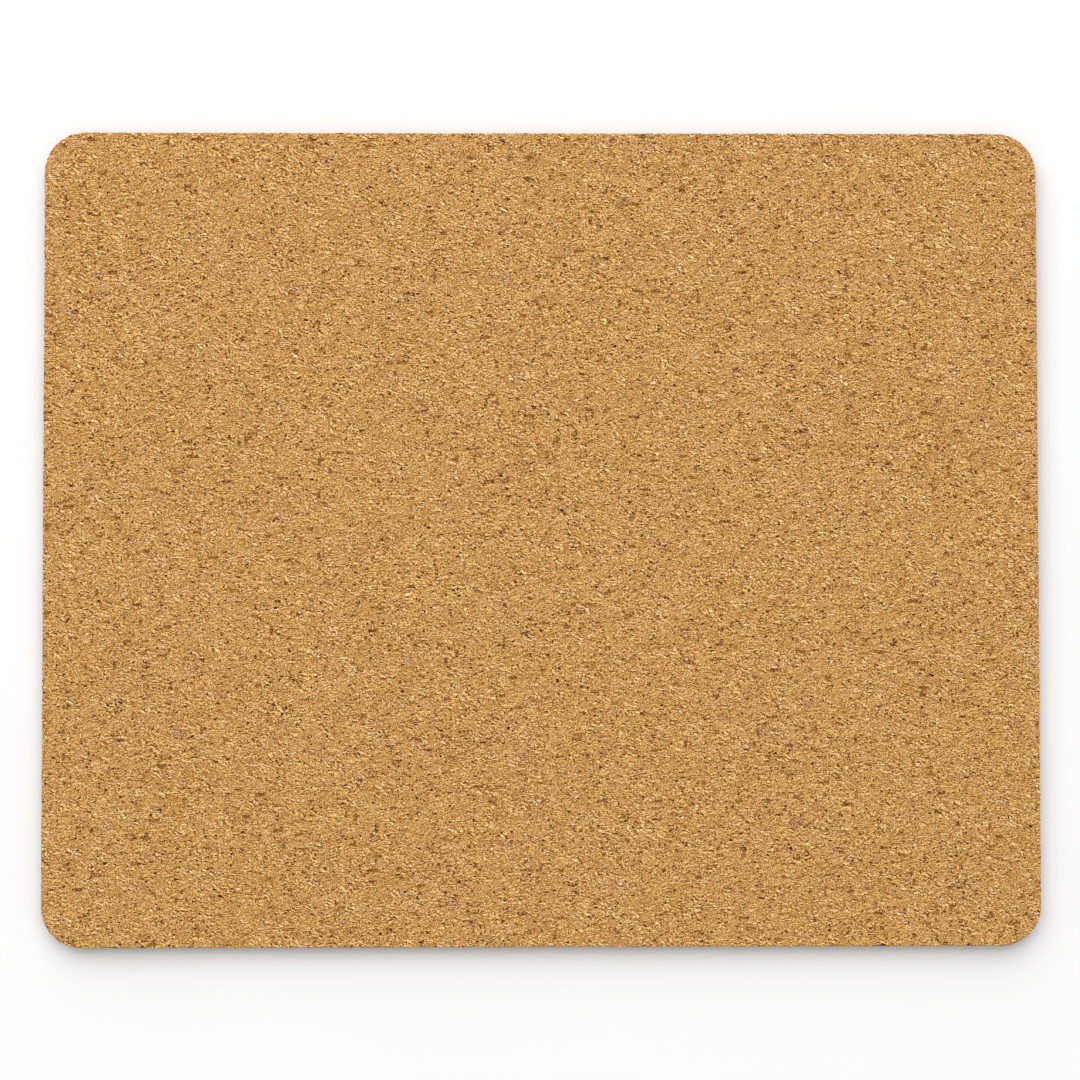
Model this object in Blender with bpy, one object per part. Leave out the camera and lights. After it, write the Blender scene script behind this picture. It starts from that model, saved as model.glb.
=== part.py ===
"""A small desk mat: a die-cut cork face bonded by a glue film to a non-slip rubber base.

The three layers lie flat on top of each other. The origin is the middle of the mat on the desk,
+X runs along the longer side, +Y along the shorter side and +Z up. Sizes are in metres.
"""

import math

import bmesh
import bpy

# Driving dimensions

MAT_LENGTH = 0.220  # along X
MAT_WIDTH = 0.180  # along Y
CORNER_RADIUS = 0.009

CORK_THICKNESS = 0.0020
FILM_THICKNESS = 0.0002
BASE_THICKNESS = 0.0012
LAYER_GAP = 0.0003  # clearance between two layers that are bonded together

FILM_SET_BACK = 0.0006  # how far the glue line stays inside the cut edge
CORK_ARRIS = 0.0003  # rounding of the cork's upper edge
BASE_ARRIS = 0.0002  # rounding of the rubber's lower edge

CORNER_SEGMENTS = 12
ARRIS_SEGMENTS = 3
SHARP_ANGLE = math.radians(40)  # steeper edges are shaded sharp

# Heights, from the desk up

BASE_BOTTOM = 0.0
FILM_BOTTOM = BASE_BOTTOM + BASE_THICKNESS + LAYER_GAP
CORK_BOTTOM = FILM_BOTTOM + FILM_THICKNESS + LAYER_GAP

# Finishes: colour, roughness, metallic

CORK_FINISH = ((0.563, 0.303, 0.109), 0.85, 0.0)
FILM_FINISH = ((0.60, 0.50, 0.33), 0.45, 0.0)
RUBBER_FINISH = ((0.022, 0.021, 0.020), 0.80, 0.0)


def clear_scene():
    """Leave nothing of the startup scene behind."""
    for obj in list(bpy.data.objects):
        bpy.data.objects.remove(obj)


def make_material(name, finish):
    """A plain Principled material from a finish."""
    colour, roughness, metallic = finish
    material = bpy.data.materials.new(name)
    material.use_nodes = True
    shader = material.node_tree.nodes["Principled BSDF"]
    shader.inputs["Base Color"].default_value = (*colour, 1.0)
    shader.inputs["Roughness"].default_value = roughness
    shader.inputs["Metallic"].default_value = metallic
    material.diffuse_color = (*colour, 1.0)
    return material


def bevel(shape, edges, width, segments):
    """Round the given edges with an arc of the given radius."""
    bmesh.ops.bevel(
        shape,
        geom=edges,
        offset=width,
        offset_type="OFFSET",
        affect="EDGES",
        segments=segments,
        profile=0.5,
        material=-1,
        clamp_overlap=True,
    )


def upright_edges(shape):
    """The edges that run from the lower face to the upper one."""
    return [edge for edge in shape.edges if edge.verts[0].co.z * edge.verts[1].co.z < 0]


def rim_edges(shape, upper):
    """The outline of the upper or of the lower face."""
    side = 1 if upper else -1
    return [edge for edge in shape.edges if all(vert.co.z * side > 0 for vert in edge.verts)]


def make_layer(name, finish, bottom, thickness, set_back=0.0, upper_arris=0.0, lower_arris=0.0):
    """One sheet of the mat: a slab with rounded corners, its lower face at the given height.

    The slab is modelled around its own middle, so its upper half has z above 0.
    """
    shape = bmesh.new()
    bmesh.ops.create_cube(shape, size=1.0)
    size = (MAT_LENGTH - 2 * set_back, MAT_WIDTH - 2 * set_back, thickness)
    bmesh.ops.scale(shape, vec=size, verts=shape.verts)
    bevel(shape, upright_edges(shape), CORNER_RADIUS - set_back, CORNER_SEGMENTS)
    if upper_arris:
        bevel(shape, rim_edges(shape, upper=True), upper_arris, ARRIS_SEGMENTS)
    if lower_arris:
        bevel(shape, rim_edges(shape, upper=False), lower_arris, ARRIS_SEGMENTS)
    bmesh.ops.recalc_face_normals(shape, faces=shape.faces)

    mesh = bpy.data.meshes.new(name)
    shape.to_mesh(mesh)
    shape.free()
    mesh.shade_smooth()
    mesh.set_sharp_from_angle(angle=SHARP_ANGLE)
    mesh.materials.append(make_material(name, finish))

    layer = bpy.data.objects.new(name, mesh)
    layer.location.z = bottom + thickness / 2
    bpy.context.scene.collection.objects.link(layer)
    return layer


clear_scene()
make_layer(
    "rubber_base_sheet",
    RUBBER_FINISH,
    BASE_BOTTOM,
    BASE_THICKNESS,
    lower_arris=BASE_ARRIS,
)
make_layer(
    "adhesive_film",
    FILM_FINISH,
    FILM_BOTTOM,
    FILM_THICKNESS,
    set_back=FILM_SET_BACK,
)
make_layer(
    "cork_face_sheet",
    CORK_FINISH,
    CORK_BOTTOM,
    CORK_THICKNESS,
    upper_arris=CORK_ARRIS,
)
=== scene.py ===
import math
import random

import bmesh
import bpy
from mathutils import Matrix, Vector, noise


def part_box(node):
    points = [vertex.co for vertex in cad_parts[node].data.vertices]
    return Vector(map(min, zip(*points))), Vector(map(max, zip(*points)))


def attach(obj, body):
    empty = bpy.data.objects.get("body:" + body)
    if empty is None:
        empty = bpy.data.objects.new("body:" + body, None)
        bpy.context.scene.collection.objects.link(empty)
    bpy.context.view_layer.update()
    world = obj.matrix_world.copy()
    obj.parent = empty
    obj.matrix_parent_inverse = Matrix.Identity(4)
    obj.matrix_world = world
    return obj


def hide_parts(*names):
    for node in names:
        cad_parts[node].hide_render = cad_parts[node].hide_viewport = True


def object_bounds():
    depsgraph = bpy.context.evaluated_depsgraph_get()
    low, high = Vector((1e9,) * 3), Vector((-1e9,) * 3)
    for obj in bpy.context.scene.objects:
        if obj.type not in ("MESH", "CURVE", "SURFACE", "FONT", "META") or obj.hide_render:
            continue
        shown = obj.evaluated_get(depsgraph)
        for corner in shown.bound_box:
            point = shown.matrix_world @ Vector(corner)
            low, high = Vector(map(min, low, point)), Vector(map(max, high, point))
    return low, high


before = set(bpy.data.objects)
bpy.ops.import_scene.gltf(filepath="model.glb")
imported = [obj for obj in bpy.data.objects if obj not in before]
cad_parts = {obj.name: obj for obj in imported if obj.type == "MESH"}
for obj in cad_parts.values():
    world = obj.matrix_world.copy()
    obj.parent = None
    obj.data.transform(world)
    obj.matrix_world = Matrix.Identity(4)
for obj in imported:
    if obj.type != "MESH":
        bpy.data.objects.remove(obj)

# %% [markdown]
# # A cork desk mat, made the way the real one is made
#
# The mat is a laminate: a sheet of agglomerated cork, a thin film of glue and a sheet of non-slip
# rubber, cut out together with one stroke of a die. The imported frame holds the three layers as
# plain slabs of the right size. This lesson turns each slab into the sheet that it stands for.
# First the frame's own box is kept, and the mat's size is printed.

MM = 0.001
cad_low, cad_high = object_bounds()
cork_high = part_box("cork_face_sheet")[1]
film_low, film_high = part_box("adhesive_film")
rubber_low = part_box("rubber_base_sheet")[0]
HALF_LENGTH = cad_high.x
HALF_WIDTH = cad_high.y
print("mat, in mm:", [round(side / MM, 2) for side in cad_high - cad_low])

# %% [markdown]
# ## The die
#
# A steel-rule die is a blade bent into a rectangle with round corners. A modeller could draw that
# outline with a curve or bevel the corners of a cube, but then the pattern on the sheet would bend
# with the corner. A die does the opposite: it cuts straight through whatever pattern the sheet
# has. So each sheet starts as a grid that is too big, and is trimmed with bisect_plane: once for
# each straight side, and once for each small facet of the round corners. This works because the
# outline is convex.

# %% The outline, and one stroke of a straight blade
CORNER_RADIUS = 9 * MM
SNAP = 0.001 * MM  # points this near the blade count as cut


def outward(point):
    """The direction straight out of the outline, seen from above, at a point near its edge."""
    core_x = max(-HALF_LENGTH + CORNER_RADIUS, min(HALF_LENGTH - CORNER_RADIUS, point.x))
    core_y = max(-HALF_WIDTH + CORNER_RADIUS, min(HALF_WIDTH - CORNER_RADIUS, point.y))
    return Vector((point.x - core_x, point.y - core_y, 0)).normalized()


def trim(shape, geometry, point, direction):
    """Cut the geometry with a plane and throw away what lies beyond it."""
    bmesh.ops.bisect_plane(
        shape, geom=geometry, dist=SNAP, plane_co=point, plane_no=direction, clear_outer=True
    )


# %% The four sides and the four corners
CORNER_STEPS = 14  # from one straight side round the corner to the next
CORNER_MARGIN = 2 * MM  # faces this far outside a corner's square are looked at as well


def cut_side(shape, inset, direction, reach):
    """Cut one straight side."""
    everything = shape.verts[:] + shape.edges[:] + shape.faces[:]
    trim(shape, everything, direction * (reach - inset), direction)


def corner_geometry(shape, centre, side_x, side_y):
    """The faces, edges and points near one corner, so that a cut there is quick.

    A dict drops what repeats and keeps the order, so that every run makes the same mesh.
    """
    faces = [
        face
        for face in shape.faces
        if side_x * (face.verts[0].co.x - centre.x) > -CORNER_MARGIN
        and side_y * (face.verts[0].co.y - centre.y) > -CORNER_MARGIN
    ]
    edges = dict.fromkeys(edge for face in faces for edge in face.edges)
    verts = dict.fromkeys(vert for face in faces for vert in face.verts)
    return [*verts, *edges, *faces]


def cut_corner(shape, inset, side_x, side_y):
    """Cut one round corner, facet by facet."""
    centre = Vector(
        (side_x * (HALF_LENGTH - CORNER_RADIUS), side_y * (HALF_WIDTH - CORNER_RADIUS), 0)
    )
    for step in range(1, CORNER_STEPS):
        angle = math.pi / 2 * step / CORNER_STEPS
        direction = Vector((side_x * math.cos(angle), side_y * math.sin(angle), 0))
        near = corner_geometry(shape, centre, side_x, side_y)
        trim(shape, near, centre + direction * (CORNER_RADIUS - inset), direction)


def die_cut(shape, inset):
    """Cut the sheet to the mat's outline, moved in by the given amount."""
    cut_side(shape, inset, Vector((1, 0, 0)), HALF_LENGTH)
    cut_side(shape, inset, Vector((-1, 0, 0)), HALF_LENGTH)
    cut_side(shape, inset, Vector((0, 1, 0)), HALF_WIDTH)
    cut_side(shape, inset, Vector((0, -1, 0)), HALF_WIDTH)
    for side_x in (-1, 1):
        for side_y in (-1, 1):
            cut_corner(shape, inset, side_x, side_y)


# %% [markdown]
# ## From an open sheet to a closed one
#
# Every sheet starts as a grid that is too big. After the cut it is a skin with an open edge, and
# the cut side grows out of that edge ring by ring with extrude_edge_only: first round the worn
# arris, then down the side. A pit that the blade went through lies lower than its neighbours, so
# each ring only ever pushes a point down to the ring's height, and the notch stays. A sheet that
# lies face down, as the rubber does, is built upwards in the same way. The last ring is closed
# with one flat face, which is the side that is glued and never seen.

# %% Helpers: a grid, a cut side, a finished piece
def oversize_grid(cell, spare):
    """A flat grid of square cells that reaches past the outline on every side."""
    sheet = bmesh.new()
    count_x = math.ceil(HALF_LENGTH / cell) * 2 + spare
    count_y = math.ceil(HALF_WIDTH / cell) * 2 + spare
    bmesh.ops.create_grid(sheet, x_segments=count_x, y_segments=count_y, size=0.5)
    bmesh.ops.scale(sheet, vec=(count_x * cell, count_y * cell, 1), verts=sheet.verts)
    print("grid:", count_x, "by", count_y, "cells")
    return sheet


def grow_side(shape, rings, downwards=True):
    """Extrude the open edge through rings of (distance outwards, height), then close it."""
    edges = [edge for edge in shape.edges if edge.is_boundary]
    reached = 0.0
    side = set()
    for distance, height in rings:
        grown = bmesh.ops.extrude_edge_only(shape, edges=edges)["geom"]
        edges = [part for part in grown if isinstance(part, bmesh.types.BMEdge)]
        for vert in grown:
            if not isinstance(vert, bmesh.types.BMVert):
                continue
            vert.co += outward(vert.co) * (distance - reached)
            lower_or_higher = min if downwards else max
            vert.co.z = lower_or_higher(vert.co.z, height)
            side.add(vert)
        reached = distance
    edges = [edge for edge in edges if edge.is_valid and edge.is_boundary]
    bmesh.ops.contextual_create(shape, geom=edges)
    return side


def arris_rings(radius, start, direction, steps=4):
    """Rings that turn a quarter circle from a flat face to the cut side."""
    turns = [math.pi / 2 * step / steps for step in range(1, steps + 1)]
    return [
        (radius * math.sin(turn), start + direction * radius * (1 - math.cos(turn)))
        for turn in turns
    ]


def finish_piece(name, shape, sharp_degrees):
    """Turn the finished bmesh into an object that stands at the origin."""
    bmesh.ops.recalc_face_normals(shape, faces=shape.faces)
    mesh = bpy.data.meshes.new(name)
    shape.to_mesh(mesh)
    shape.free()
    mesh.shade_smooth()
    mesh.set_sharp_from_angle(angle=math.radians(sharp_degrees))
    piece = bpy.data.objects.new(name, mesh)
    bpy.context.scene.collection.objects.link(piece)
    triangles = sum(len(face.vertices) - 2 for face in mesh.polygons)
    print(f"{name}: {len(mesh.vertices)} points, {triangles} triangles")
    return piece


# %% [markdown]
# ## The cork sheet
#
# Agglomerated cork is bark ground to granules, pressed with a binder into a block and sliced into
# sheets. The slice goes through granules and through the small voids between them, so the face is
# flat but pitted: some pits are single crumbs that fell out, some are short open seams, which lie
# mostly along the sheet. They are real geometry here, because they catch the light at a low angle.
# The grid's points are first moved a little sideways, so that no pit is square.

# %% Cork: a grid with jittered points
CORK_CELL = 0.8 * MM
JITTER = 0.16 * CORK_CELL
cork_random = random.Random(11)

cork = oversize_grid(CORK_CELL, spare=2)
for vert in cork.verts:
    vert.co.x += cork_random.uniform(-JITTER, JITTER)
    vert.co.y += cork_random.uniform(-JITTER, JITTER)
    vert.co.z = cork_high.z
print("points moved by up to", round(JITTER / MM, 3), "mm")

# %% [markdown]
# A pit is a group of one to three neighbouring cells. All groups are inset in one go, which leaves
# a ring of sloping faces round each group, and then each floor is pushed down by its own depth. A
# point attribute named "pit" marks the floors with their depth, so that the cork's material can paint
# shade into them, more in deeper pits.

# %% Cork: where the pits are
PITS = 1500  # tries; a pit that would touch another is left out
PIT_LENGTHS = (0, 0, 1, 1, 2)  # cells beyond the first, one of these by chance
PITS_ALONG = 0.8  # the share of steps that go along the sheet


def next_cell(face, direction):
    """The cell that lies across the given side of this one, or None at the sheet's edge."""
    middle = face.calc_center_median()
    edge = max(
        face.edges,
        key=lambda side: ((side.verts[0].co + side.verts[1].co) / 2 - middle).dot(direction),
    )
    return next((other for other in edge.link_faces if other is not face), None)


def pit_cells(start):
    """One to three cells in a short run, mostly along the sheet."""
    group = [start]
    for _ in range(cork_random.choice(PIT_LENGTHS)):
        direction = Vector((1, 0, 0)) if cork_random.random() < PITS_ALONG else Vector((0, 1, 0))
        following = next_cell(group[-1], direction)
        if following is None:
            break
        group.append(following)
    return group


pit_layer = cork.verts.layers.float.new("pit")
taken = set()
pits = []
for start in cork_random.sample(cork.faces[:], PITS):
    group = pit_cells(start)
    points = {vert for face in group for vert in face.verts}
    if points & taken:
        continue
    taken |= points
    pits.append(group)
print("pits:", len(pits))

# %% Cork: how deep they are
PIT_RIM = 0.16 * MM
PIT_DEPTH = (0.10 * MM, 0.26 * MM)
floors = [face for group in pits for face in group]
bmesh.ops.inset_region(cork, faces=floors, thickness=PIT_RIM, depth=0, use_even_offset=True)
for group in pits:
    depth = cork_random.uniform(*PIT_DEPTH)
    for vert in {vert for face in group for vert in face.verts}:
        vert.co.z -= depth
        # the depth share sets how much shade is painted into the floor
        vert[pit_layer] = depth / PIT_DEPTH[1]
print("pit floors:", len(floors), "cells")

# %% [markdown]
# The face isn't a mirror-flat plane either: springy granules stand a few hundredths of a
# millimetre above hard ones. Then the die comes down, and the side is roughened where granules
# tore rather than cut, always inwards, so that the mat keeps its size.

# %% Cork: relief and die cut
RELIEF = 0.02 * MM
RELIEF_LENGTH = 2.2 * MM
CORK_ARRIS = 0.3 * MM
CORK_SIDE_RINGS = 5
GLUE_CLEARANCE = 0.01 * MM
for vert in cork.verts:
    vert.co.z += RELIEF * (noise.noise(vert.co / RELIEF_LENGTH) - 1)
die_cut(cork, CORK_ARRIS)
cork_bottom = film_high.z + GLUE_CLEARANCE
side_depth = cork_high.z - CORK_ARRIS - cork_bottom
cork_rings = arris_rings(CORK_ARRIS, cork_high.z, -1)
cork_rings += [
    (CORK_ARRIS, cork_high.z - CORK_ARRIS - side_depth * (ring / CORK_SIDE_RINGS))
    for ring in range(1, CORK_SIDE_RINGS + 1)
]
cork_side = grow_side(cork, cork_rings)
print("cork side:", round(side_depth / MM, 2), "mm deep")

# %% Cork: torn side
TEAR = 0.16 * MM  # the deepest tear
TEAR_LENGTH = 1.1 * MM
CRUMB_LENGTH = 0.45 * MM
CRUMB_SHARE = 0.6
TEAR_LEVEL = 0.35  # raises the noise, so that most of the side is torn a little
for vert in cork_side:
    rough = noise.noise(vert.co / TEAR_LENGTH) + CRUMB_SHARE * noise.noise(vert.co / CRUMB_LENGTH)
    vert.co -= outward(vert.co) * (TEAR * max(0.0, min(1.0, TEAR_LEVEL + rough)) + SNAP)
cork_face = finish_piece("cork_face", cork, sharp_degrees=38)
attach(cork_face, "root")
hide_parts("cork_face_sheet")

# %% [markdown]
# ## The rubber sheet
#
# The non-slip sheet is calendered: a hot roller presses shallow pockets into its underside, and
# the ribs between them grip the desk. inset_individual makes all the pockets at once, each with
# sloping walls, which is how a roller leaves them. The die then cuts through the pattern wherever
# the outline happens to fall.

# %% Rubber: pockets
RUBBER_PITCH = 3.0 * MM
RUBBER_RIB = 0.45 * MM
POCKET_DEPTH = 0.3 * MM
rubber = oversize_grid(RUBBER_PITCH, spare=1)
pockets = rubber.faces[:]
bmesh.ops.inset_individual(rubber, faces=pockets, thickness=RUBBER_RIB, depth=0)
bmesh.ops.inset_individual(rubber, faces=pockets, thickness=RUBBER_RIB / 2, depth=0)
for vert in {vert for face in pockets for vert in face.verts}:
    vert.co.z += POCKET_DEPTH
print("pockets before the cut:", len(pockets))

# %% Rubber: die cut and side
RUBBER_ARRIS = 0.15 * MM
RUBBER_SIDE_RINGS = (0.35, 0.7, 1)  # shares of the side's height
RUBBER_WAVE = 0.05 * MM
RUBBER_WAVE_LENGTH = 3 * MM
die_cut(rubber, RUBBER_ARRIS)
rubber_top = film_low.z - GLUE_CLEARANCE
rubber_rings = arris_rings(RUBBER_ARRIS, rubber_low.z, 1, steps=2)
rubber_rings += [
    (RUBBER_ARRIS, rubber_low.z + RUBBER_ARRIS + (rubber_top - RUBBER_ARRIS) * share)
    for share in RUBBER_SIDE_RINGS
]
for vert in grow_side(rubber, rubber_rings, downwards=False):
    wave = 1 + noise.noise(vert.co / RUBBER_WAVE_LENGTH)
    vert.co -= outward(vert.co) * RUBBER_WAVE * wave
rubber_base = finish_piece("rubber_base", rubber, sharp_degrees=30)
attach(rubber_base, "root")
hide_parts("rubber_base_sheet")

# %% [markdown]
# ## The glue line
#
# The glue film was melted between the two sheets under a press. Its edge stays a little inside the
# cut, and wanders, because the melt ran further in some places than in others. A coarse grid is
# enough here: only the edge is ever seen, in the thin slot between the cork and the rubber.

# %% Glue: a thin film with a wandering edge
FILM_CELL = 2 * MM
FILM_ROUND = 0.05 * MM
FILM_WANDER = 0.3 * MM
FILM_WANDER_LENGTH = 5 * MM
film_inset = cork_high.x - film_high.x
glue = oversize_grid(FILM_CELL, spare=2)
bmesh.ops.translate(glue, vec=(0, 0, film_high.z), verts=glue.verts)
die_cut(glue, film_inset + FILM_ROUND)
glue_rings = arris_rings(FILM_ROUND, film_high.z, -1, steps=2)
glue_rings += [(FILM_ROUND, film_low.z + FILM_ROUND), (0, film_low.z)]
for vert in grow_side(glue, glue_rings):
    vert.co += outward(vert.co) * FILM_WANDER * noise.noise(vert.co / FILM_WANDER_LENGTH)
glue_line = finish_piece("glue_line", glue, sharp_degrees=60)
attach(glue_line, "root")
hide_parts("adhesive_film")

# %% [markdown]
# ## Materials: a few helpers
#
# Each finish is a small network of nodes. A few helpers keep the recipes short: each adds one node
# and feeds it with plain values or with what other nodes give. All patterns read Object
# coordinates, scaled so that one unit is a millimetre, and so they run through the sheet from its
# face to its cut side.

# %% Node helpers
def new_finish(name):
    """An empty Principled material, with its node tree and its shader."""
    material = bpy.data.materials.new(name)
    material.use_nodes = True
    tree = material.node_tree
    return material, tree, tree.nodes["Principled BSDF"]


def feed(tree, socket, value):
    """Link a socket to another node's output, or set it to a plain value."""
    if isinstance(value, bpy.types.NodeSocket):
        tree.links.new(value, socket)
    else:
        socket.default_value = value


def add(tree, kind, settings=None, **inputs):
    """Add a node, choose its settings, and set its inputs to values or to other nodes' outputs."""
    node = tree.nodes.new(kind)
    for name, value in (settings or {}).items():
        setattr(node, name, value)
    for name, value in inputs.items():
        feed(tree, node.inputs[name], value)
    return node


def sum_of(tree, operation, *values, clamp=False):
    """One step of arithmetic between numbers or outputs."""
    node = tree.nodes.new("ShaderNodeMath")
    node.operation = operation
    node.use_clamp = clamp
    for socket, value in zip(node.inputs, values):
        feed(tree, socket, value)
    return node.outputs[0]


def blend(tree, factor, first, second):
    """Mix two colours. A Mix node keeps the sockets for colours at places 6, 7 and 2."""
    node = tree.nodes.new("ShaderNodeMix")
    node.data_type = "RGBA"
    feed(tree, node.inputs[0], factor)
    feed(tree, node.inputs[6], first)
    feed(tree, node.inputs[7], second)
    return node.outputs[2]


def in_millimetres(tree, stretch=(1, 1, 1)):
    """Object coordinates in millimetres, stretched if need be."""
    place = add(tree, "ShaderNodeTexCoord").outputs["Object"]
    scale = [1 / MM * share for share in stretch]
    return add(tree, "ShaderNodeMapping", Vector=place, Scale=scale).outputs[0]


# %% [markdown]
# ## Cork: the colour of a granule
#
# Cork's tans differ in lightness far more than in hue, and they differ in a simple way: a darker
# granule has about the same amount less of red, of green and of blue, on the scale that a screen
# shows. One function therefore gives the cork's colour at any lightness, and a colour ramp made
# from it turns one number into cork.

# %% Cork tones
MIDDLE_TAN = (209, 154, 87)  # on a screen's scale from 0 to 255


def linear(shade):
    """A screen colour, 0 to 255, as the linear colour that a shader wants."""
    out = []
    for channel in shade:
        share = max(0.0, min(255.0, channel)) / 255
        out.append(share / 12.92 if share <= 0.04045 else ((share + 0.055) / 1.055) ** 2.4)
    return (*out, 1.0)


def cork_tone(step):
    """The cork's colour, so many screen steps lighter or darker than its middle tan."""
    return linear([channel + step for channel in MIDDLE_TAN])


TONE_REACH = 130  # screen steps from the middle tan to either end of the ramp
TONE_STOPS = 9


def cork_ramp(tree, value):
    """Turn a lightness, -1 to 1 for the whole reach, into a cork colour."""
    ramp = add(tree, "ShaderNodeValToRGB")
    points = ramp.color_ramp.elements
    for index in range(TONE_STOPS):
        place = index / (TONE_STOPS - 1)
        if index in (0, TONE_STOPS - 1):
            point = points[0 if index == 0 else -1]
        else:
            point = points.new(place)
        point.color = cork_tone((2 * place - 1) * TONE_REACH)
    place = sum_of(tree, "MULTIPLY_ADD", value, 0.5, 0.5, clamp=True)
    tree.links.new(place, ramp.inputs[0])
    return ramp.outputs[0]


# %% [markdown]
# ## Cork: the granules
#
# A face of agglomerated cork is a cut through thousands of granules, pressed flat, so that no two
# neighbours match. A Voronoi texture is made for this: each of its cells is a granule, with a middle
# and four random numbers of its own. Its straight walls would look like crazy paving, so the
# coordinates are bent by a noise first. The vector steps below need one node each.

# %% Cork finish: vector steps
def vector_step(tree, operation, *values):
    """One step of arithmetic between vectors."""
    node = tree.nodes.new("ShaderNodeVectorMath")
    node.operation = operation
    for socket, value in zip(node.inputs, values):
        feed(tree, socket, value)
    return node.outputs["Value" if operation == "LENGTH" else "Vector"]


def turned(tree, vector, chance, widest):
    """Turn a vector about the sheet's normal, by up to the widest angle either way."""
    angle = sum_of(tree, "MULTIPLY_ADD", chance, 2 * widest, -widest)
    rotate = add(tree, "ShaderNodeVectorRotate", {"rotation_type": "Z_AXIS"}, Vector=vector, Angle=angle)
    return rotate.outputs[0]


# %% Cork finish: granules
BEND_SCALE = 0.9
BEND_REACH = (1.6, 1.2, 1.2)  # how far a granule's outline wanders, in mm
GRANULES = (0.45, 0.65, 0.65)  # granules along a millimetre, in X, Y and Z


def bent_place(tree, plain):
    """The coordinates in millimetres, bent by a noise."""
    bend = add(tree, "ShaderNodeTexNoise", Vector=plain, Scale=BEND_SCALE, Detail=2.0)
    return vector_step(tree, "MULTIPLY_ADD", bend.outputs["Color"], BEND_REACH, plain)


def cells(tree, place):
    """Voronoi cells: each cell's middle, its random colour and four random numbers.

    A cell's own colour also sets where its middle lies, so it is shuffled once more. The first
    three numbers are the channels of the shuffled colour.
    """
    voronoi = add(tree, "ShaderNodeTexVoronoi", Vector=place, Scale=1.0)
    shuffled = add(tree, "ShaderNodeTexWhiteNoise", Vector=voronoi.outputs["Color"])
    channels = add(tree, "ShaderNodeSeparateColor", Color=shuffled.outputs["Color"])
    chances = [*channels.outputs, shuffled.outputs["Value"]]
    return voronoi.outputs["Position"], shuffled.outputs["Color"], chances


def rim_distance(tree, place):
    """How far a point lies from the nearest wall between two granules."""
    rim = add(
        tree, "ShaderNodeTexVoronoi", {"feature": "DISTANCE_TO_EDGE"}, Vector=place, Scale=1.0
    )
    return rim.outputs["Distance"]


# %% [markdown]
# ## Cork: the growth layers, and their painted light and shade
#
# Bark grows in layers, and a granule keeps a piece of them. A stretched noise gives the layers, which
# the bump turns into relief.
# Cut across, each layer shows as a short stroke with a light and a dark edge, where the soft cork beside
# it was torn out. This light and dark is painted into the colour, as a lamp beyond the far side would
# light the relief. Taking from the noise the same noise, moved a little to one side, leaves only its
# slopes: the one that faces the far side is painted light, the other painted shade. Every granule turns
# its layers by a chance angle, reads another part of the noise, and shows its layers more or less
# strongly, so that smooth patches lie among coarse ones.

# %% Cork finish: growth layers and their painted light and shade
GROWTH = (2.6, 3.2, 3.2)  # waves of the layers' noise along and across a granule
GROWTH_TURN = math.radians(50)
PAINTED_SHADE_SHIFT = 0.35  # how far the second noise is moved
NOISE_SPREAD = (40, 40, 40)  # how far apart two granules read the noise
# how faintly and how strongly a granule's layers are painted light and dark
FAINTEST_PAINTED_SHADE = 0.3
STRONGEST_PAINTED_SHADE = 1.7


def layers_and_painted_shade(tree, place, middle, granule, chances):
    """The layers as a relief, and their edges' painted light and shade as a tone."""
    local = vector_step(tree, "SUBTRACT", place, middle)
    local = turned(tree, local, chances[0], GROWTH_TURN)
    lines = vector_step(tree, "MULTIPLY", local, GROWTH)
    lines = vector_step(tree, "MULTIPLY_ADD", granule, NOISE_SPREAD, lines)
    behind = vector_step(tree, "ADD", lines, (0, PAINTED_SHADE_SHIFT, 0))
    layers, moved = (
        add(tree, "ShaderNodeTexNoise", Vector=where, Scale=1.0, Detail=1.0, Roughness=0.4).outputs[0]
        for where in (lines, behind)
    )
    # the noise's slopes: painted light where they face the far side, painted shade on the other
    edges = sum_of(tree, "SUBTRACT", layers, moved)
    strength = sum_of(
        tree, "MULTIPLY_ADD", chances[3], STRONGEST_PAINTED_SHADE - FAINTEST_PAINTED_SHADE, FAINTEST_PAINTED_SHADE
    )
    return layers, sum_of(tree, "MULTIPLY", edges, strength)


# %% [markdown]
# ## Cork: seams and specks
#
# Between some granules the binder left an open seam; the seam's darkness is painted shade, as would fall
# into the gap. Specks of hard bark, dark brown to nearly black, and flecks of pale young cork are ground
# in with the rest. Each speck is a sliver in one cell of a finer Voronoi texture: the distance from the
# cell's middle, measured in squeezed and turned coordinates, is compared with a chance size. Only a
# share of the cells has one.

# %% Cork finish: seams and specks
SEAM_WIDTH = 0.10  # beside a granule's 1
SEAM_BREAKS = (4.0, -1.8)  # how sharply, and from which tissue on, a seam is open
SLIVER_TURN = math.radians(60)
SMALLEST_SLIVER = 0.4  # beside the largest
SLIVER_EDGE = 6.0  # how sharply a sliver ends


def open_seams(tree, rim, tissue):
    """A mask along the granules' walls, broken up by the tissue."""
    seam = sum_of(tree, "MULTIPLY_ADD", rim, -1 / SEAM_WIDTH, 1.0, clamp=True)
    patchy = sum_of(tree, "MULTIPLY_ADD", tissue, *SEAM_BREAKS, clamp=True)
    return sum_of(tree, "MULTIPLY", seam, patchy)


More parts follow.
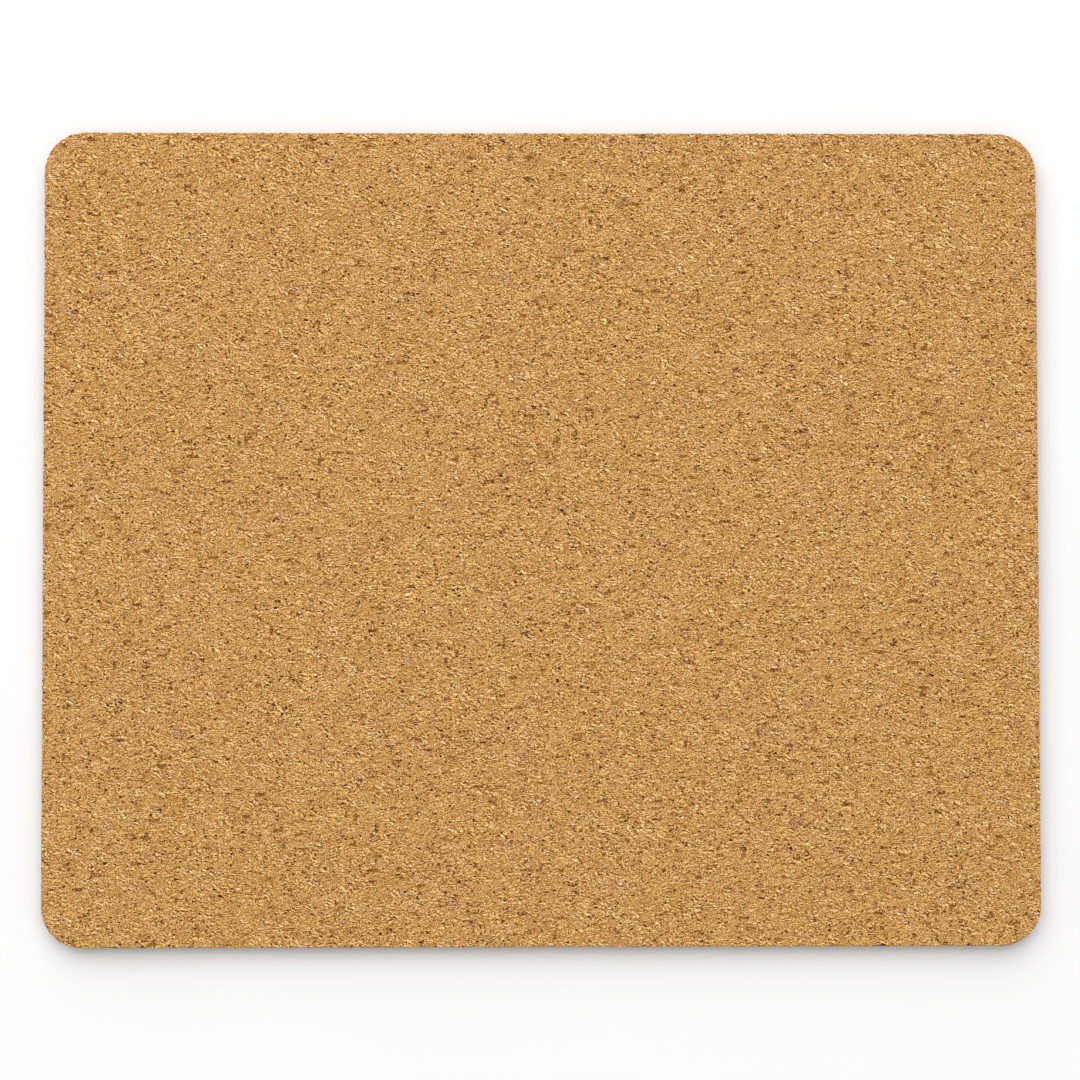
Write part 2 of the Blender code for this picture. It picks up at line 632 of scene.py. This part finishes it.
def slivers(tree, place, share, size, slimness):
    """A mask of small slivers, one in the given share of the cells, each at its own angle."""
    middle, _, chances = cells(tree, place)
    local = vector_step(tree, "SUBTRACT", place, middle)
    local = turned(tree, local, chances[1], SLIVER_TURN)
    local = vector_step(tree, "MULTIPLY", local, (1.0, slimness, 1.0))
    distance = vector_step(tree, "LENGTH", local)
    smallest = SMALLEST_SLIVER * size
    reach = sum_of(tree, "MULTIPLY_ADD", chances[2], size - smallest, smallest)
    depth = sum_of(tree, "SUBTRACT", reach, distance)
    shown = sum_of(tree, "LESS_THAN", chances[0], share)
    edge = sum_of(tree, "MULTIPLY", depth, SLIVER_EDGE / size, clamp=True)
    return sum_of(tree, "MULTIPLY", edge, shown)


# %% [markdown]
# ## Cork: from numbers to a finish
#
# Everything so far is added up to one tone, in which each part has its own weight, and the ramp
# turns the tone into a colour. Hue is added last, because it varies more gently: a little from
# granule to granule, a little in wide drifts over the sheet, and a few granules are greyish mauve.
# Bump gives the same layers, tissue and seams a height. Soft tissue is also a little duller than
# hard tissue, so the roughness follows it.

# %% Cork finish: hue
GRANULE_HUE = (0.03, 0.0, 0.18)  # how much red, green and blue may differ
DRIFT_HUE = (0.04, 0.0, 0.18)
DRIFT_SCALE = 0.08
MAUVE_SHARE = 0.008
MAUVE = (0.86, 0.82, 1.05)  # what it does to red, green and blue


def tinted(tree, colour, chance, spread):
    """Multiply a colour by a chance tint, which leaves its average as it was."""
    least = [1 - reach / 2 for reach in spread]
    tint = vector_step(tree, "MULTIPLY_ADD", chance, spread, least)
    return vector_step(tree, "MULTIPLY", colour, tint)


def cork_hue(tree, colour, granule, chance, plain):
    """The cork's colour with its changes of hue."""
    colour = tinted(tree, colour, granule, GRANULE_HUE)
    drift = add(tree, "ShaderNodeTexNoise", Vector=plain, Scale=DRIFT_SCALE, Detail=2.0)
    colour = tinted(tree, colour, drift.outputs["Color"], DRIFT_HUE)
    is_mauve = sum_of(tree, "LESS_THAN", chance, MAUVE_SHARE)
    return blend(tree, is_mauve, colour, vector_step(tree, "MULTIPLY", colour, MAUVE))


# %% Cork finish: weights
GRANULE_CONTRAST = 0.10  # every contrast is a share of the ramp's reach
# painted light and shade of the growth layers
PAINTED_LAYER_SHADE_CONTRAST = 1.7
TISSUE = (3.2, 4.8, 4.8)  # waves of the fine tissue along a millimetre
TISSUE_CONTRAST = 2.0
# painted shade in the open seams
SEAM_PAINTED_SHADE = 0.4
BARK = (1.2, 1.8, 1.8)  # places for a bark speck along a millimetre
BARK_SHARE = 0.35
BARK_SIZE = 0.55
BARK_SLIMNESS = 1.8
BARK_DARKNESS = 1.4
PALE = (1.3, 1.8, 1.8)  # places for a pale fleck along a millimetre
PALE_SHARE = 0.05
PALE_SIZE = 0.6
PALE_SLIMNESS = 2.0
PALE_LIGHTNESS = 0.3
# painted shade in the pits' floors
PIT_PAINTED_SHADE = 0.35


def weighted(tree, tone, part, weight):
    """The tone with one more part added to it."""
    return sum_of(tree, "MULTIPLY_ADD", part, weight, tone)


def cork_tone_sum(tree, bent, chance, edges, tissue, seam):
    """All light and dark parts of the cork, added up, painted light and shade among them."""
    bark = slivers(tree, vector_step(tree, "MULTIPLY", bent, BARK), BARK_SHARE, BARK_SIZE, BARK_SLIMNESS)
    pale = slivers(tree, vector_step(tree, "MULTIPLY", bent, PALE), PALE_SHARE, PALE_SIZE, PALE_SLIMNESS)
    pit = add(tree, "ShaderNodeAttribute", {"attribute_name": "pit"}).outputs["Fac"]
    tone = -(GRANULE_CONTRAST + TISSUE_CONTRAST) / 2  # so that the average is no tone at all
    for part, weight in (
        (chance, GRANULE_CONTRAST),
        # the layers' painted light and shade
        (edges, PAINTED_LAYER_SHADE_CONTRAST),
        (tissue, TISSUE_CONTRAST),
        # painted shade in the open seams
        (seam, -SEAM_PAINTED_SHADE),
        (bark, -BARK_DARKNESS),
        (pale, PALE_LIGHTNESS),
        # painted shade in the pits' floors, more in deeper pits
        (pit, -PIT_PAINTED_SHADE),
    ):
        tone = weighted(tree, tone, part, weight)
    return tone


# %% Cork finish: colour, relief and sheen
CORK_BUMP = 0.40 * MM
TISSUE_RELIEF = 0.5  # beside the layers' 1
SEAM_RELIEF = -0.2
CORK_ROUGHNESS = (0.76, 0.92)  # at the hardest and the softest tissue
CORK_SHINE = 0.2  # most finishes have 0.5


def make_cork():
    """Agglomerated cork, cut and sanded."""
    material, tree, shader = new_finish("agglomerated cork")
    plain = in_millimetres(tree)
    bent = bent_place(tree, plain)
    place = vector_step(tree, "MULTIPLY", bent, GRANULES)
    middle, granule, chances = cells(tree, place)
    # layers is the relief; the second value is light and shade painted into the colour
    layers, edges = layers_and_painted_shade(tree, place, middle, granule, chances)
    fine = vector_step(tree, "MULTIPLY", plain, TISSUE)
    tissue = add(tree, "ShaderNodeTexNoise", Vector=fine, Scale=1.0, Detail=0.0).outputs[0]
    seam = open_seams(tree, rim_distance(tree, place), tissue)

    tone = cork_tone_sum(tree, bent, chances[1], edges, tissue, seam)
    colour = cork_hue(tree, cork_ramp(tree, tone), granule, chances[2], plain)
    tree.links.new(colour, shader.inputs["Base Color"])

    relief = weighted(tree, weighted(tree, layers, tissue, TISSUE_RELIEF), seam, SEAM_RELIEF)
    bump = add(tree, "ShaderNodeBump", Height=relief, Distance=CORK_BUMP, Strength=1.0)
    tree.links.new(bump.outputs[0], shader.inputs["Normal"])
    hardest, softest = CORK_ROUGHNESS
    roughness = sum_of(tree, "MULTIPLY_ADD", tissue, softest - hardest, hardest)
    tree.links.new(roughness, shader.inputs["Roughness"])
    shader.inputs["Specular IOR Level"].default_value = CORK_SHINE
    return material


# %% [markdown]
# ## Rubber and glue
#
# The rubber is black from its carbon filler and matt from the roller. Up close it is not one black:
# it has a faint grey bloom, which gathers in patches, and a fine grain. The glue line is an amber
# resin that set a little unevenly, with small bubbles along its edge.

# %% Rubber finish
BLACK = (0.016, 0.0155, 0.015, 1)
BLOOM = (0.040, 0.039, 0.037, 1)
BLOOM_PATCHES = 0.12  # along a millimetre
RUBBER_GRAIN = 5.0
BLOOM_LEVEL = (3.0, -0.35)  # how sharply, and from which noise on, the bloom shows
RUBBER_ROUGHNESS = (0.70, 0.88)  # of the black and of the bloom
RUBBER_BUMP = 0.03 * MM
RUBBER_SHINE = 0.4


def make_rubber():
    """Black calendered rubber with a faint bloom."""
    material, tree, shader = new_finish("non-slip rubber")
    place = in_millimetres(tree)
    patch = add(tree, "ShaderNodeTexNoise", Vector=place, Scale=BLOOM_PATCHES, Detail=3.0)
    grain = add(tree, "ShaderNodeTexNoise", Vector=place, Scale=RUBBER_GRAIN, Detail=3.0)
    bloom = sum_of(tree, "MULTIPLY", patch.outputs[0], grain.outputs[0])
    bloom = sum_of(tree, "MULTIPLY_ADD", bloom, *BLOOM_LEVEL, clamp=True)
    tree.links.new(blend(tree, bloom, BLACK, BLOOM), shader.inputs["Base Color"])
    of_black, of_bloom = RUBBER_ROUGHNESS
    roughness = sum_of(tree, "MULTIPLY_ADD", bloom, of_bloom - of_black, of_black)
    tree.links.new(roughness, shader.inputs["Roughness"])
    bump = add(tree, "ShaderNodeBump", Height=grain.outputs[0], Distance=RUBBER_BUMP, Strength=1.0)
    tree.links.new(bump.outputs[0], shader.inputs["Normal"])
    shader.inputs["Specular IOR Level"].default_value = RUBBER_SHINE
    return material


# %% Glue finish
AMBER = (0.42, 0.27, 0.11, 1)
PALE_RESIN = (0.70, 0.60, 0.42, 1)
FLOW = (0.3, 0.3, 2)  # waves along a millimetre, in X, Y and Z
BUBBLES = 2.5  # along a millimetre
GLUE_ROUGHNESS = (0.25, 0.55)
BUBBLE_BUMP = 0.05 * MM


def make_glue():
    """Amber resin, uneven and slightly bubbly."""
    material, tree, shader = new_finish("glue film")
    flow = add(tree, "ShaderNodeTexNoise", Vector=in_millimetres(tree, FLOW), Scale=1.0).outputs[0]
    tree.links.new(blend(tree, flow, AMBER, PALE_RESIN), shader.inputs["Base Color"])
    glossy, dull = GLUE_ROUGHNESS
    roughness = sum_of(tree, "MULTIPLY_ADD", flow, dull - glossy, glossy)
    tree.links.new(roughness, shader.inputs["Roughness"])
    bubble = add(tree, "ShaderNodeTexVoronoi", Vector=in_millimetres(tree), Scale=BUBBLES)
    height = bubble.outputs["Distance"]
    bump = add(tree, "ShaderNodeBump", Height=height, Distance=BUBBLE_BUMP, Strength=1.0)
    tree.links.new(bump.outputs[0], shader.inputs["Normal"])
    return material


# %% Dress the pieces
def dress(piece, material):
    """Give a piece its only material."""
    piece.data.materials.clear()
    piece.data.materials.append(material)


dress(cork_face, make_cork())
dress(rubber_base, make_rubber())
dress(glue_line, make_glue())
print("finishes:", [piece.data.materials[0].name for piece in (cork_face, rubber_base, glue_line)])

# %% [markdown]
# ## The studio
#
# The mat lies on a pale table under soft light: an even white surround, and one large lamp that
# stands beyond the far side of the mat, a little to the left, and shines down on it at about 45
# degrees. The lamp lights the grain's relief from that side, and the cork's colour also has light and
# shade painted into it as from the same side. A surround alone would be flatter than cork ever looks,
# and a small lamp would draw a hard shadow. The view transform is
# Standard, so that a tan stays the tan that it was mixed to be.

# %% Table
TABLE_SIDE = 6.0  # in metres
TABLE_MOTTLE = 0.02  # patches along a millimetre
TABLE_ROUGHNESS = 0.9
WHITE = (0.98, 0.98, 0.98, 1)
OFF_WHITE = (0.96, 0.96, 0.96, 1)

table_shape = bmesh.new()
bmesh.ops.create_grid(table_shape, x_segments=1, y_segments=1, size=TABLE_SIDE / 2)
table_mesh = bpy.data.meshes.new("table")
table_shape.to_mesh(table_mesh)
table_shape.free()
table = bpy.data.objects.new("table", table_mesh)
bpy.context.scene.collection.objects.link(table)


def make_table():
    """White laminate with the faintest mottle."""
    material, tree, shader = new_finish("table")
    place = in_millimetres(tree)
    mottle = add(tree, "ShaderNodeTexNoise", Vector=place, Scale=TABLE_MOTTLE, Detail=2.0)
    colour = blend(tree, mottle.outputs[0], OFF_WHITE, WHITE)
    tree.links.new(colour, shader.inputs["Base Color"])
    shader.inputs["Roughness"].default_value = TABLE_ROUGHNESS
    return material


dress(table, make_table())
print("table:", TABLE_SIDE, "m wide")

# %% Surround
SURROUND = 0.6

world = bpy.data.worlds.new("surround")
world.use_nodes = True
surround = world.node_tree.nodes["Background"]
surround.inputs["Color"].default_value = (1, 1, 1, 1)
surround.inputs["Strength"].default_value = SURROUND
bpy.context.scene.world = world
print("surround:", SURROUND)

# %% Lamp
LAMP_SIDE = 3.0  # in metres
LAMP_PLACE = Vector((-0.4, 1.5, 1.5))
LAMP_WATTS = 48

lamp_light = bpy.data.lights.new("lamp", "AREA")
lamp_light.size = LAMP_SIDE
lamp_light.energy = LAMP_WATTS
lamp = bpy.data.objects.new("lamp", lamp_light)
lamp.location = LAMP_PLACE
lamp.rotation_euler = (-LAMP_PLACE).to_track_quat("-Z", "Y").to_euler()
bpy.context.scene.collection.objects.link(lamp)
bpy.context.scene.view_settings.view_transform = "Standard"
print("lamp:", round(LAMP_PLACE.length, 2), "m from the mat")

# %% [markdown]
# ## The camera
#
# It hangs 66 cm over the mat with a long lens, almost straight down: it stands a little to the
# near left of the middle and is tipped by about two degrees.

# %% Camera
CAMERA_PLACE = Vector((-10.8, -26.4, 661.8)) * MM  # from the middle of the cork face
CAMERA_TURN = [math.radians(angle) for angle in (2.247, -0.896, -0.069)]
camera_data = bpy.data.cameras.new("camera")
camera_data.lens = 100
camera_data.sensor_width = 36
camera_data.clip_end = 20
camera = bpy.data.objects.new("camera", camera_data)
camera.location = CAMERA_PLACE + Vector((0, 0, cork_high.z))
camera.rotation_euler = CAMERA_TURN
bpy.context.scene.collection.objects.link(camera)
bpy.context.scene.camera = camera
print("camera height:", round(camera.location.z, 3))
